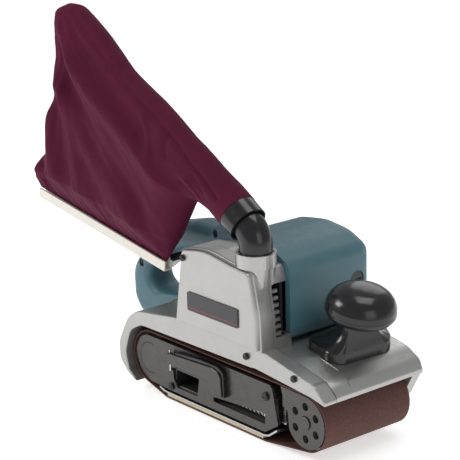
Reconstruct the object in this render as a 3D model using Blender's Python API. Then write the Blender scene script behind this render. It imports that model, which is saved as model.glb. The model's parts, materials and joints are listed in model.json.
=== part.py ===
"""Handheld belt sander for a 100 x 610 mm belt.

Frame: +X is the front, -Y is the side the sanding belt slides off, +Z is up.
The origin is in the middle of the flat sanding face's length, on the platen's middle plane.
The sanding belt's own centre line lies 3 mm from it, towards +Y.
"""
import bpy
import bmesh
from math import acos, atan2, cos, hypot, pi, radians, sin, tan
from mathutils import Matrix, Vector

# ---- driving dimensions, in metres ----
GAP = 0.0003                 # air between pieces that touch

BELT_Y = (-0.0470, 0.0530)   # the two edges of the sanding belt
BELT_THICK = 0.0012
AXLE_X = 0.1095              # the drum is at -AXLE_X, the front roller at +AXLE_X
AXLE_Z = 0.0340
ROLLER_R = 0.0252
SOLE_REAR = -0.086           # the flat length of the platen
SOLE_FRONT = 0.056

PARTING_Y = -0.040           # the cast cover and the cast frame meet here
COVER_Y = -0.055             # outer face of the cast cover
HUMP_Y = -0.060              # outer face of its hump
SLOPE_END_Y = -0.0215        # the hood's near slope reaches the deck here
FRAME_Y = 0.064              # far face of the cast frame
WALL = 0.0032                # thickness of the castings
DECK_Z = 0.0853

MOTOR_X = 0.010
MOTOR_Z = 0.1273
MOTOR_FRONT = 0.060
MOTOR_REAR = -0.042
MOTOR_NEAR = -0.0190
MOTOR_FAR = 0.0815
BRUSH_Y = 0.062
CAP_R = 0.0082               # the caps over the motor brushes

DRIVE_Y = (0.088, 0.098)     # the toothed belt runs between these planes
DRIVE_FAR = 0.102            # outer face of the drive cover
SMALL_PULLEY_R = 0.0085
LARGE_PULLEY_R = 0.0220
DRIVE_BELT_THICK = 0.0016

NOZZLE = (0.040, PARTING_Y)  # the upright axis of the dust outlet
COLLAR_R = 0.0182
COLLAR_FOOT = 0.1595
NOZZLE_TOP = 0.1718
ELBOW_R = 0.0150
ELBOW_BEND_R = 0.020
ELBOW_BEND_Z = 0.1764
ELBOW_ANGLE = radians(58)

GRIP_Y = (0.0005, 0.0355)    # the two sides of the rear handle
GRIP_SPLIT = 0.018

KNOB = (0.117, 0.012, 0.1253)
KNOB_R = 0.0317
KNOB_OVER_H = 0.0218         # height of the ball above its seam
KNOB_UNDER_H = 0.0100        # and below it
KNOB_TILT = radians(11)
NECK_R = 0.0165

SIDE_Y = (-0.0475, -0.0445)  # the grey side plate
LEVER_PIN = (-0.0740, -0.0510)
TRACKING_X = 0.0585          # the tracking screw turns about this line
TRACKING_Z = 0.0439
ROUND = 32                   # sides of a middle-sized round piece


# ---- shared tools ----
for old in list(bpy.data.objects):
    bpy.data.objects.remove(old, do_unlink=True)


def colour(obj, rgb, roughness=0.5, metallic=0.0):
    """Give an object its own Principled material."""
    material = bpy.data.materials.new(obj.name)
    material.use_nodes = True
    shader = material.node_tree.nodes["Principled BSDF"]
    shader.inputs["Base Color"].default_value = (*rgb, 1.0)
    shader.inputs["Roughness"].default_value = roughness
    shader.inputs["Metallic"].default_value = metallic
    obj.data.materials.clear()
    obj.data.materials.append(material)
    return obj


SILVER = dict(rgb=(0.58, 0.58, 0.56), roughness=0.4, metallic=0.7)
STEEL = dict(rgb=(0.45, 0.45, 0.46), roughness=0.35, metallic=1.0)
PLATE = dict(rgb=(0.20, 0.195, 0.20), roughness=0.45, metallic=0.8)
BLACK = dict(rgb=(0.02, 0.02, 0.022), roughness=0.4)
TEAL = dict(rgb=(0.055, 0.135, 0.17), roughness=0.45)
COPPER = dict(rgb=(0.55, 0.25, 0.12), roughness=0.4, metallic=1.0)


def from_bmesh(name, mesh_data, finish):
    """Turn a bmesh into a named object with its finish."""
    bmesh.ops.recalc_face_normals(mesh_data, faces=mesh_data.faces)
    mesh = bpy.data.meshes.new(name)
    mesh_data.to_mesh(mesh)
    mesh_data.free()
    mesh.shade_smooth()
    mesh.set_sharp_from_angle(angle=radians(35))
    obj = bpy.data.objects.new(name, mesh)
    bpy.context.scene.collection.objects.link(obj)
    if finish:
        colour(obj, **finish)
    return obj


def loft(name, rings, finish=None):
    """Join rings of equal length into one closed solid."""
    data = bmesh.new()
    loops = [[data.verts.new(point) for point in ring] for ring in rings]
    for lower, upper in zip(loops, loops[1:]):
        for i in range(len(lower)):
            j = (i + 1) % len(lower)
            data.faces.new((lower[i], lower[j], upper[j], upper[i]))
    data.faces.new(reversed(loops[0]))
    data.faces.new(loops[-1])
    return from_bmesh(name, data, finish)


def torus_loft(name, rings, finish=None):
    """Join rings into a closed tube whose last ring meets its first."""
    data = bmesh.new()
    loops = [[data.verts.new(point) for point in ring] for ring in rings]
    for k, lower in enumerate(loops):
        upper = loops[(k + 1) % len(loops)]
        for i in range(len(lower)):
            j = (i + 1) % len(lower)
            data.faces.new((lower[i], lower[j], upper[j], upper[i]))
    return from_bmesh(name, data, finish)


def prism(name, outline, low, high, finish=None):
    """An outline in X and Z, extruded along Y from low to high."""
    return loft(name, [[(x, y, z) for x, z in outline] for y in (low, high)], finish)


def slab(name, outline, low, high, finish=None):
    """An outline in X and Y, extruded along Z from low to high."""
    return loft(name, [[(x, y, z) for x, y in outline] for z in (low, high)], finish)


def band(name, inner, outer, low, high, finish=None):
    """A closed loop of flat strip between two outlines in X and Z."""
    rings = [[(a[0], low, a[1]), (a[0], high, a[1]), (b[0], high, b[1]), (b[0], low, b[1])]
             for a, b in zip(inner, outer)]
    return torus_loft(name, rings, finish)


def soft_prism(name, outline, low, high, soft, ends=(True, True), steps=2, finish=None):
    """A prism along Y whose rims are rounded at the chosen ends."""
    rings = []
    for y, way, is_soft in ((low, 1, ends[0]), (high, -1, ends[1])):
        rim = []
        for k in range(steps + 1) if is_soft else ():
            angle = pi / 2 * k / steps
            points = shifted(outline, soft * (1 - sin(angle)))
            rim.append([(x, y + way * soft * (1 - cos(angle)), z) for x, z in points])
        if not is_soft:
            rim.append([(x, y, z) for x, z in outline])
        rings += rim if way > 0 else reversed(rim)
    return loft(name, rings, finish)


def box(name, low, high, finish=None):
    """A rectangular block between two corners."""
    corners = [(low[0], low[1]), (high[0], low[1]), (high[0], high[1]), (low[0], high[1])]
    return slab(name, corners, low[2], high[2], finish)


def arc(centre, radius, start, end, steps):
    """Points on an arc, angles in degrees."""
    points = []
    for k in range(steps + 1):
        angle = radians(start + (end - start) * k / steps)
        points.append((centre[0] + radius * cos(angle), centre[1] + radius * sin(angle)))
    return points


def circle(centre, radius, sides=ROUND):
    """A full circle without a repeated last point."""
    return arc(centre, radius, 0, 360, sides)[:-1]


def rounded(corners, radius, steps=4):
    """A polygon with its corners rounded; a corner may carry its own radius."""
    points = []
    count = len(corners)
    for i, corner in enumerate(corners):
        here = Vector(corner[:2])
        back = (Vector(corners[i - 1][:2]) - here)
        ahead = (Vector(corners[(i + 1) % count][:2]) - here)
        size = corner[2] if len(corner) > 2 else radius
        turn = back.angle(ahead)
        if size == 0 or turn > radians(176):
            points.append(tuple(here))
            continue
        reach = min(size / tan(turn / 2), 0.45 * back.length, 0.45 * ahead.length)
        size = reach * tan(turn / 2)
        middle = here + (back.normalized() + ahead.normalized()).normalized() * hypot(reach, size)
        first = here + back.normalized() * reach - middle
        sweep = first.angle_signed(here + ahead.normalized() * reach - middle)
        for k in range(steps + 1):
            points.append(tuple(middle + Matrix.Rotation(-sweep * k / steps, 2) @ first))
    return points


def shifted(outline, distance):
    """Move every point of a closed outline inwards."""
    area = sum(a[0] * b[1] - b[0] * a[1] for a, b in zip(outline, outline[1:] + outline[:1]))
    side = 1 if area > 0 else -1
    moved = []
    for i, point in enumerate(outline):
        here = Vector(point)
        before = (here - Vector(outline[i - 1])).normalized()
        after = (Vector(outline[(i + 1) % len(outline)]) - here).normalized()
        normal = Vector((-before.y - after.y, before.x + after.x)).normalized() * side
        lean = max(normal.dot(Vector((-after.y, after.x)) * side), 0.5)
        moved.append(tuple(here + normal * distance / lean))
    return moved


def inset(outline, distance):
    """Move a closed outline inwards, dropping points where a tight corner would cross itself."""
    edges = list(zip(outline, outline[1:] + outline[:1]))
    return [spot for spot in shifted(outline, distance)
            if all(edge_distance(Vector(spot), start, end) > 0.97 * distance for start, end in edges)]


def edge_distance(spot, start, end):
    """Distance from a point to a straight edge."""
    start, end = Vector(start), Vector(end)
    along = end - start
    share = min(max((spot - start).dot(along) / max(along.length_squared, 1e-12), 0), 1)
    return (spot - start - along * share).length


def lathe(name, profile, place, axis, finish=None, sides=ROUND):
    """Turn a profile of (radius, height) about an axis through place.

    A profile that starts and ends at radius 0 gives a solid; any other
    profile is a closed loop and gives a ring.
    """
    turn = Vector((0, 0, 1)).rotation_difference(Vector(axis)).to_matrix()
    data = bmesh.new()
    closed = profile[0][0] > 0
    rows = []
    for radius, height in profile:
        if radius == 0:
            rows.append([data.verts.new(turn @ Vector((0, 0, height)) + Vector(place))])
            continue
        row = []
        for x, y in circle((0, 0), radius, sides):
            row.append(data.verts.new(turn @ Vector((x, y, height)) + Vector(place)))
        rows.append(row)
    pairs = list(zip(rows, rows[1:]))
    if closed:
        pairs.append((rows[-1], rows[0]))
    for lower, upper in pairs:
        for i in range(sides):
            j = (i + 1) % sides
            face = [lower[i % len(lower)], lower[j % len(lower)],
                    upper[j % len(upper)], upper[i % len(upper)]]
            data.faces.new(list(dict.fromkeys(face)))
    return from_bmesh(name, data, finish)


def rod(name, start, end, radius, finish=None, sides=ROUND):
    """A plain round bar between two points."""
    axis = Vector(end) - Vector(start)
    profile = [(0, 0), (radius, 0), (radius, axis.length), (0, axis.length)]
    return lathe(name, profile, start, axis, finish, sides)


def ring(name, start, end, outer, inner, finish=None, sides=ROUND):
    """A round bar with a bore right through it."""
    axis = Vector(end) - Vector(start)
    profile = [(inner, 0), (outer, 0), (outer, axis.length), (inner, axis.length)]
    return lathe(name, profile, start, axis, finish, sides)


def bake(obj):
    """Replace an object's mesh with its evaluated mesh."""
    depsgraph = bpy.context.evaluated_depsgraph_get()
    mesh = bpy.data.meshes.new_from_object(obj.evaluated_get(depsgraph))
    obj.modifiers.clear()
    obj.data = mesh
    return obj


def combine(obj, operation, tools):
    """Join or cut an object with tools, which are used up."""
    for tool in tools:
        step = obj.modifiers.new("Boolean", "BOOLEAN")
        step.operation = operation
        step.solver = "EXACT"
        step.object = tool
        bake(obj)
        bpy.data.objects.remove(tool, do_unlink=True)
    return obj


def join(obj, *tools):
    """Union an object with tools that overlap it."""
    return combine(obj, "UNION", tools)


def cut(obj, *tools):
    """Cut tools out of an object."""
    return combine(obj, "DIFFERENCE", tools)


def bevel(obj, width, segments=2, angle=40):
    """Round the sharp edges of an object."""
    step = obj.modifiers.new("Bevel", "BEVEL")
    step.width = width
    step.segments = segments
    step.limit_method = "ANGLE"
    step.angle_limit = radians(angle)
    return bake(obj)


def toothed(centre, inner, outer, count, duty=0.5):
    """A wheel outline with straight teeth."""
    points = []
    for k in range(count):
        middle = 360 * k / count
        half = 180 / count * duty
        points += arc(centre, outer, middle - half, middle + half, 1)
        points += arc(centre, inner, middle + half * 1.3, middle + 360 / count - half * 1.3, 1)
    return points


def wrapped(first, first_radius, second, second_radius, steps=14):
    """The outline of a belt pulled round two wheels."""
    along = Vector(second) - Vector(first)
    heading = atan2(along.y, along.x) * 180 / pi
    lean = acos((first_radius - second_radius) / along.length) * 180 / pi
    outline = arc(first, first_radius, heading + lean, heading + 360 - lean, steps)
    return outline + arc(second, second_radius, heading - lean, heading + lean, steps)


# ---- outlines that several pieces share ----
REAR_AXIS = (-AXLE_X, AXLE_Z)
FRONT_AXIS = (AXLE_X, AXLE_Z)
SHROUD_TOP = [(-0.1175, 0.0805, 0.02), (-0.1335, 0.0715, 0.03), (-0.1492, 0.0430, 0.02),
              (-0.1487, 0.0250, 0.012), (-0.1365, 0.0130, 0.008), (-0.1238, 0.0080, 0)]
OPENING = [(-0.1268, 0.0115, 0), (-0.1355, 0.0175, 0.008), (-0.1402, 0.0340, 0.015),
           (-0.1315, 0.0574, 0.02), (-0.1133, 0.0672, 0.015)]
HUMP = [(-0.0534, 0.0894, 0), (-0.0448, 0.1430, 0), (-0.0420, 0.1605, 0.008),
        (-0.0092, 0.1665, 0.06), (0.0276, 0.1612, 0.05), (0.0520, 0.1585, 0.006),
        (0.0559, 0.1420, 0), (0.0605, 0.1187, 0), (0.0618, 0.0880, 0)]
LIP = [(0.1420, 0.0640, 0.004), (0.1420, 0.0605, 0), (0.1245, 0.0640, 0.03)]
CROWN = [(-0.060, 0.0835, 0), (0.0618, DECK_Z, 0), (0.0990, DECK_Z, 0.03), (0.1225, 0.0810, 0.03),
         (0.1385, 0.0725, 0.012)]
HOOD = [(0.0680, 0.0875, 0), (0.0979, 0.0815, 0.06), (0.1290, 0.0755, 0.012)]


def sander_outline():
    """Outer edge of the near cover: hump, hood, opening and rear round."""
    top = HUMP + HOOD + LIP + [(0.0530, 0.0700, 0), (0.0460, 0.0692, 0)]
    return rounded(top + list(reversed(OPENING)) + list(reversed(SHROUD_TOP)), 0.004, 3)


def belt_outline(depth):
    """The sanding belt's path, depth inside its outer surface."""
    radius = ROLLER_R + GAP + BELT_THICK - depth
    points = []
    for centre, corner, side in ((FRONT_AXIS, SOLE_FRONT, 1), (REAR_AXIS, SOLE_REAR, -1)):
        away = Vector((corner, depth)) - Vector(centre)
        touch = atan2(away.y, away.x) + side * acos(radius / away.length)
        low = touch * 180 / pi
        wrap = arc(centre, radius, low, 90, 18) if side > 0 else arc(centre, radius, 90, low + 360, 18)
        points += wrap
    return points + [(SOLE_REAR, depth), (SOLE_FRONT, depth)]


# ---- castings ----
def half_disc(name, side, radius, low, high):
    """Half of an upright cylinder about the nozzle axis; side is -1 near, +1 far."""
    start = 0 if side > 0 else 180
    middle = (NOZZLE[0], NOZZLE[1] + side * GAP / 2)
    return slab(name, arc(middle, radius, start, start + 180, 16), low, high)


def outlet_neck(side):
    """The rounded pillar under the collar; the castings' own walls are hollowed after it is joined."""
    return half_disc("neck", side, 0.0168, 0.1340, COLLAR_FOOT + 0.0010)


def add_collar(casting, side):
    """Give a casting its half of the dust outlet's collar, and bore it."""
    join(casting, half_disc("collar", side, COLLAR_R, COLLAR_FOOT, NOZZLE_TOP))
    cut(casting, rod("bore", (*NOZZLE, 0.1470), (*NOZZLE, 0.1800), 0.0156))


def left_cover():
    """Near casting: belt guard rim with the hump and half the dust outlet."""
    outline = sander_outline()
    cover = soft_prism("left_cover", outline, COVER_Y, PARTING_Y - GAP / 2, 0.0012, (True, False))
    bulge = rounded(HUMP, 0.004, 3)
    step = soft_prism("bulge", shifted(bulge, 0.0010), HUMP_Y, COVER_Y + 0.004, 0.0022, (True, False))
    join(cover, step, outlet_neck(-1))
    hollow = prism("hollow", inset(bulge, WALL + 0.0006), HUMP_Y + WALL, COVER_Y + WALL + 0.002)
    cut(cover, hollow)
    rim = inset(outline, WALL)
    pocket = prism("pocket", rim, COVER_Y + WALL, PARTING_Y + 0.01)
    cut(cover, pocket)
    add_collar(cover, -1)
    return colour(cover, **SILVER)


def main_frame():
    """Far casting: deck, belt guard, side wall, inner block and gear column."""
    near = PARTING_Y + GAP / 2
    top = CROWN + LIP + [(0.0530, 0.0685, 0)]
    shell = rounded(top + list(reversed(OPENING)) + list(reversed(SHROUD_TOP)), 0.004, 3)
    frame = soft_prism("main_frame", shell, near, FRAME_Y, 0.0020, (False, True))
    hollow = prism("hollow", inset(shell, WALL), near - 0.01, FRAME_Y - 2 * WALL)
    cut(frame, hollow)
    wall = rounded([(-0.060, 0.080), (-0.118, 0.076), (-0.138, 0.045), (-0.135, 0.022), (-0.115, 0.006),
                    (0.040, 0.009), (0.070, 0.020), (0.0850, 0.0400), (0.1200, 0.0345), (0.1265, 0.0365),
                    (0.1405, 0.0620), (0.1340, 0.0700), (0.1100, 0.0790), (0.085, 0.0815)], 0.005, 3)
    wall = prism("wall", wall, 0.0535, FRAME_Y - 0.0005)
    cut(wall, rod("drum_hole", (-AXLE_X, 0.050, AXLE_Z), (-AXLE_X, 0.070, AXLE_Z), 0.0143))
    join(frame, wall)
    block = rounded([(-0.080, 0.0545), (0.0615, 0.0545), (0.0690, 0.0210), (0.0540, 0.0095),
                     (-0.072, 0.0095), (-0.080, 0.020)], 0.003, 3)
    block = prism("block", block, SIDE_Y[1] + GAP, 0.056)
    cut(block, box("recess", (-0.0735, -0.060, 0.0160), (-0.0375, -0.0100, 0.0325)),
        box("hollow_far", (-0.0720, -0.0065, 0.0135), (0.0560, 0.0480, 0.0600)),
        box("hollow_near", (-0.0340, -0.0340, 0.0325), (0.0240, -0.0100, 0.0600)))
    join(frame, block)
    column = rounded(HUMP[:-1] + [(0.0618, 0.0840, 0), (-0.0534, 0.0820, 0)], 0.004, 3)
    column = join(prism("column", column, near, MOTOR_NEAR - GAP), outlet_neck(1))
    cut(column, prism("room", inset(rounded(HUMP, 0.004, 3), WALL), near - 0.01, MOTOR_NEAR - 0.0035))
    join(frame, column)
    add_collar(frame, 1)
    join(frame, prism("slope_backing", SLOPE_BACKING, near, SLOPE_END_Y + 0.002))
    cut(frame, hood_slope(near))
    frame_holes(frame)
    join(frame, *vent_teeth())
    return colour(frame, **SILVER)


# Extra thickness under the hood's slope, so that the slope does not break into the hollow.
SLOPE_BACKING = [(0.0640, DECK_Z - 0.0010), (0.0985, DECK_Z - 0.0012), (0.1215, 0.0795), (0.1300, 0.0740),
                 (0.1270, 0.0690), (0.0979, 0.0760), (0.0640, 0.0800)]


def hood_slope(near):
    """What is cut away where the hood slopes down from the deck to the edge of the cover."""
    rings = []
    for y, rise in ((near - 0.002, 0.0), (SLOPE_END_Y, 0.0040)):
        edge = [(0.0640, 0.0880), (0.0979, 0.0815 + rise), (0.1290, 0.0755 + rise * 0.8),
                (0.1440, 0.0640 + rise * 0.3)]
        rings.append([(x, y, z) for x, z in edge + [(0.1500, 0.0950), (0.0640, 0.0950)]])
    return loft("slope", rings)


def frame_holes(frame):
    """Bores, the vent window and the pockets in the frame."""
    cut(frame, rod("shaft_hole", (MOTOR_X, -0.030, MOTOR_Z), (MOTOR_X, -0.010, MOTOR_Z), 0.0113),
        box("window", (0.050, -0.0372, 0.0965), (0.070, -0.0150, 0.1440)),
        box("duct", (-0.040, PARTING_Y - 0.01, 0.060), (0.030, -0.030, 0.095)),
        box("channel", (-0.024, -0.060, 0.0155), (0.090, -0.0350, 0.0290)),
        box("slide", (0.030, -0.0085, 0.0260), (0.090, 0.0085, 0.0460)),
        box("hook_room", (0.0620, -0.0500, 0.0250), (0.0720, -0.0360, 0.0410)),
        box("pin_hole", (-0.0772, -0.060, 0.0306), (-0.0700, -0.0415, 0.0334)))


VENT_COUNT = 7
VENT_PITCH = 0.0063
VENT_TOP = 0.1390
VENT_LEAN = 0.13             # how far forward the window's face leans per metre of drop


def vent_teeth():
    """The comb of short fins down the near edge of the vent window."""
    teeth = []
    for k in range(VENT_COUNT):
        drop = k * VENT_PITCH
        face = 0.0563 + drop * VENT_LEAN
        tooth = rounded([(0.0535, -0.0385), (face, -0.0385), (face, -0.0300), (0.0535, -0.0300)], 0.0010, 2)
        teeth.append(slab("tooth", tooth, VENT_TOP - drop - 0.0030, VENT_TOP - drop))
    return teeth


def label_plate():
    """Blank badge on the hump."""
    plate = rounded([(-0.0325, 0.1048), (0.0380, 0.1048), (0.0380, 0.1223), (-0.0325, 0.1223)], 0.0015, 2)
    return prism("label_plate", plate, HUMP_Y - 0.0012, HUMP_Y - GAP, dict(rgb=(0.06, 0.055, 0.06)))


def screw(name, x, z, seat, finish, head=0.0042):
    """A pan-head screw whose head lies on a face that looks along -Y."""
    profile = [(0, 0), (head * 0.75, 0), (head, 0.0010), (head, 0.0022), (0, 0.0022)]
    item = lathe(name, profile, (x, seat - 0.0022 - GAP, z), (0, 1, 0), None, 16)
    slot = box("slot", (x - head, seat - 0.004, z - 0.0005), (x + head, seat - 0.0018 - GAP, z + 0.0005))
    return colour(cut(item, slot), **finish)


# ---- motor ----
def motor_housing():
    """Moulded barrel that holds the motor across the frame."""
    outline = rounded([(MOTOR_FRONT, DECK_Z + 0.001, 0.013), (MOTOR_FRONT, 0.1580, 0.014), (0.036, 0.1685, 0.05),
                       (0.006, 0.1720, 0.06), (-0.024, 0.1680, 0.05), (MOTOR_REAR, 0.1590, 0.014),
                       (MOTOR_REAR, DECK_Z + 0.001, 0.013)], 0.013, 5)
    housing = soft_prism("motor_housing", outline, MOTOR_NEAR, MOTOR_FAR, 0.0125, (False, True), 3)
    cut(housing, prism("hollow", inset(outline, 0.006), MOTOR_NEAR - 0.01, MOTOR_FAR - 0.0035))
    join(housing, ring("seat", (MOTOR_X, 0.070, MOTOR_Z), (MOTOR_X, MOTOR_FAR - 0.002, MOTOR_Z),
                       0.0150, 0.0113))
    cut(housing, rod("hole", (MOTOR_X, 0.078, MOTOR_Z), (MOTOR_X, 0.09, MOTOR_Z), 0.0065))
    cut(housing, rod("scallop", (*NOZZLE, 0.1570), (*NOZZLE, 0.1800), COLLAR_R + 0.0005))
    for x in (MOTOR_FRONT, MOTOR_REAR):
        cut(housing, rod("cap_hole", (x - 0.02, BRUSH_Y, MOTOR_Z), (x + 0.02, BRUSH_Y, MOTOR_Z), CAP_R + GAP))
    return colour(housing, **TEAL)


def motor_parts():
    """Field, armature, commutator, fan, bearings, brushes and their caps."""
    def place(y):
        return (MOTOR_X, y, MOTOR_Z)

    ring("stator", place(-0.008), place(0.046), 0.0330, 0.0215, STEEL)
    rod("armature_shaft", place(-0.0565), place(0.0995), 0.0040, STEEL, 16)
    core = prism("armature_core", toothed((MOTOR_X, MOTOR_Z), 0.0195, 0.0210, 12, 0.8), -0.004, 0.042, COPPER)
    cut(core, rod("bore", place(-0.01), place(0.05), 0.0040 + GAP, None, 16))
    ring("commutator", place(0.056), place(0.072 - 0.003), 0.0120, 0.0040 + GAP, COPPER, 24)
    ring("bearing_near", place(-0.0262), place(-0.0194), 0.0110, 0.0040 + GAP, STEEL, 24)
    ring("bearing_far", place(0.0712), place(0.0778), 0.0110, 0.0040 + GAP, STEEL, 24)
    blades = prism("dust_fan", toothed((MOTOR_X, MOTOR_Z), 0.0120, 0.0270, 10, 0.25), -0.0545, -0.0440)
    join(blades, rod("disc", place(-0.0455), place(-0.0430), 0.0280))
    cut(blades, rod("bore", place(-0.06), place(-0.04), 0.0040 + GAP, None, 16))
    colour(blades, **BLACK)
    for name, x, side in (("front", MOTOR_FRONT, 1), ("rear", MOTOR_REAR, -1)):
        start = MOTOR_X + side * 0.0124
        end = x - side * 0.0060
        block = (min(start, end), max(start, end))
        box("brush_" + name, (block[0], BRUSH_Y - 0.003, MOTOR_Z - 0.004),
            (block[1], BRUSH_Y + 0.003, MOTOR_Z + 0.004), BLACK)
        face = x - side * 0.0012
        cap = rod("brush_cap_" + name, (x - side * 0.0055, BRUSH_Y, MOTOR_Z), (face, BRUSH_Y, MOTOR_Z),
                  CAP_R, None, 24)
        cut(cap, box("slot", (face - 0.0012, BRUSH_Y - 0.0060, MOTOR_Z - 0.0008),
                     (face + 0.0012, BRUSH_Y + 0.0060, MOTOR_Z + 0.0008)))
        colour(cap, **BLACK)


# ---- drive ----
def drive():
    """Pulleys, toothed belt, drum and the cover over the far side."""
    motor, drum = (MOTOR_X, MOTOR_Z), REAR_AXIS
    near, far = DRIVE_Y
    teeth = toothed(motor, SMALL_PULLEY_R - 0.001, SMALL_PULLEY_R, 12)
    small = prism("small_pulley", teeth, near, far, STEEL)
    cut(small, rod("bore", (MOTOR_X, near - 0.01, MOTOR_Z), (MOTOR_X, far + 0.01, MOTOR_Z), 0.0043, None, 16))
    large = prism("large_pulley", toothed(drum, LARGE_PULLEY_R - 0.001, LARGE_PULLEY_R, 24), near, far, STEEL)
    cut(large, rod("bore", (-AXLE_X, near - 0.01, AXLE_Z), (-AXLE_X, far + 0.01, AXLE_Z), 0.0063, None, 16))
    inner = wrapped(drum, LARGE_PULLEY_R + GAP, motor, SMALL_PULLEY_R + GAP)
    outer = wrapped(drum, LARGE_PULLEY_R + GAP + DRIVE_BELT_THICK,
                    motor, SMALL_PULLEY_R + GAP + DRIVE_BELT_THICK)
    band("drive_belt", inner, outer, near, far, BLACK)
    cover = soft_prism("drive_cover", wrapped(drum, 0.0300, motor, 0.0145, 18), MOTOR_FAR + GAP, DRIVE_FAR,
                       0.003, (False, True))
    skirt = rounded([(-0.138, 0.024), (-0.124, 0.010), (-0.095, 0.010), (-0.046, 0.088), (-0.058, 0.088),
                     (-0.105, 0.062), (-0.138, 0.050)], 0.010, 4)
    join(cover, prism("skirt", skirt, FRAME_Y + GAP, DRIVE_FAR - 0.006))
    cut(cover, prism("room", wrapped(drum, 0.0262, motor, 0.0115, 18), MOTOR_FAR - 0.005, DRIVE_FAR - 0.0025))
    cut(cover, prism("well", inset(skirt, 0.0030), FRAME_Y - 0.01, MOTOR_FAR + 0.002))
    colour(cover, **BLACK)
    rod("drum_shaft", (-AXLE_X, -0.0435, AXLE_Z), (-AXLE_X, 0.0990, AXLE_Z), 0.0060, STEEL, 20)
    ring("drum_bearing", (-AXLE_X, 0.0530, AXLE_Z), (-AXLE_X, 0.0595, AXLE_Z), 0.0140, 0.0063, STEEL, 24)
    ring("rear_drum", (-AXLE_X, -0.0430, AXLE_Z), (-AXLE_X, 0.0500, AXLE_Z), 0.0215, 0.0063, STEEL)
    ring("drum_sleeve", (-AXLE_X, -0.0430, AXLE_Z), (-AXLE_X, 0.0500, AXLE_Z), ROLLER_R, 0.0218, BLACK, 40)


# ---- front roller, fork and tension lever ----
HEX_R = 0.0150               # the fork's six holes lie on this radius
FORK_END_R = 0.0244


def front_end():
    """Front roller, its axle, the sliding fork, the link and its spring."""
    x, z = FRONT_AXIS
    ring("front_roller", (x, -0.0430, z), (x, 0.0430, z), ROLLER_R, 0.0063, STEEL, 40)
    rod("front_axle", (x, -0.0482, z), (x, 0.0482, z), 0.0060, STEEL, 20)
    arm = arc(FRONT_AXIS, FORK_END_R, -150, 88, 20)
    arm += [(0.0776, 0.0590), (0.0832, 0.0410), (0.0866, 0.0378)]
    sides = []
    for low, high in ((-0.0470, -0.0435), (0.0435, 0.0470)):
        side = prism("arm", arm, low, high)
        for k in range(6):
            angle = radians(90 + 60 * k)
            centre = (x + HEX_R * cos(angle), z + HEX_R * sin(angle))
            cut(side, prism("hole", circle(centre, 0.0038, 12), low - 0.01, high + 0.01))
        cut(side, prism("hole", circle(FRONT_AXIS, 0.0063, 20), low - 0.01, high + 0.01))
        sides.append(side)
    fork = box("front_fork", (0.0790, -0.0460, 0.0400), (0.0832, 0.0460, 0.0570))
    shank = box("shank", (0.0400, -0.0080, 0.0410), (0.0800, 0.0080, 0.0455))
    join(fork, shank, *sides)
    colour(fork, **PLATE)


def coil(name, start, end, radius, wire, turns, finish):
    """A helical spring along X between two points."""
    steps = 8
    count = turns * steps
    start, end = Vector(start), Vector(end)
    rings = []
    for k in range(count + 1):
        angle = 2 * pi * k / steps
        centre = start.lerp(end, k / count) + Vector((0, cos(angle), sin(angle))) * radius
        outward = Vector((0, cos(angle), sin(angle)))
        rings.append([centre + wire * (outward * cos(a) + Vector((1, 0, 0)) * sin(a))
                      for a in (2 * pi * i / 4 for i in range(4))])
    return loft(name, rings, finish)


def tension():
    """Link rod and spring in the slot, and the lever that pulls them."""
    axis = (-0.0395, 0.0222)
    link = rod("link_rod", (-0.0120, *axis), (0.0780, *axis), 0.0016, None, 12)
    join(link, rod("collar", (0.0500, *axis), (0.0530, *axis), 0.0036, None, 16),
         box("hook", (0.0745, -0.0410, 0.0207), (0.0775, -0.0380, 0.0390)))
    colour(link, **STEEL)
    coil("tension_spring", (-0.0060, *axis), (0.0490, *axis), 0.0027, 0.0006, 10, STEEL)
    lever = rounded([(-0.0745, 0.0390), (-0.0745, 0.0495), (-0.0100, 0.0530), (0.0020, 0.0500, 0.006),
                     (0.0036, 0.0275), (-0.0138, 0.0285), (-0.0134, 0.0387)], 0.0015, 3)
    plate = soft_prism("tension_lever", lever, -0.0541, -0.0527, 0.0004, (True, False), 1)
    pin_x, pin_y = LEVER_PIN
    join(plate, rod("barrel", (pin_x, pin_y, 0.0395), (pin_x, pin_y, 0.0490), 0.0026, None, 16))
    cut(plate, rod("bore", (pin_x, pin_y, 0.03), (pin_x, pin_y, 0.06), 0.0013, None, 12))
    colour(plate, **PLATE)
    pin = rod("lever_pin", (pin_x, pin_y, 0.0318), (pin_x, pin_y, 0.0525), 0.0010, None, 12)
    foot_top = (pin_x, pin_y - 0.0008, 0.0320)
    foot_end = (pin_x, SIDE_Y[1] + 0.002, 0.0320)
    join(pin, rod("foot", foot_top, foot_end, 0.0008, None, 8))
    colour(pin, **STEEL)
    grip = rounded([(-0.0650, 0.0400), (-0.0650, 0.0525), (-0.0290, 0.0555, 0.02), (-0.0040, 0.0555),
                    (0.0045, 0.0520, 0.007), (0.0052, 0.0268), (-0.0142, 0.0278), (-0.0138, 0.0400)], 0.0015, 3)
    soft_prism("lever_grip", grip, -0.0524, -0.0480, 0.0008, (True, False), finish=BLACK)


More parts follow.
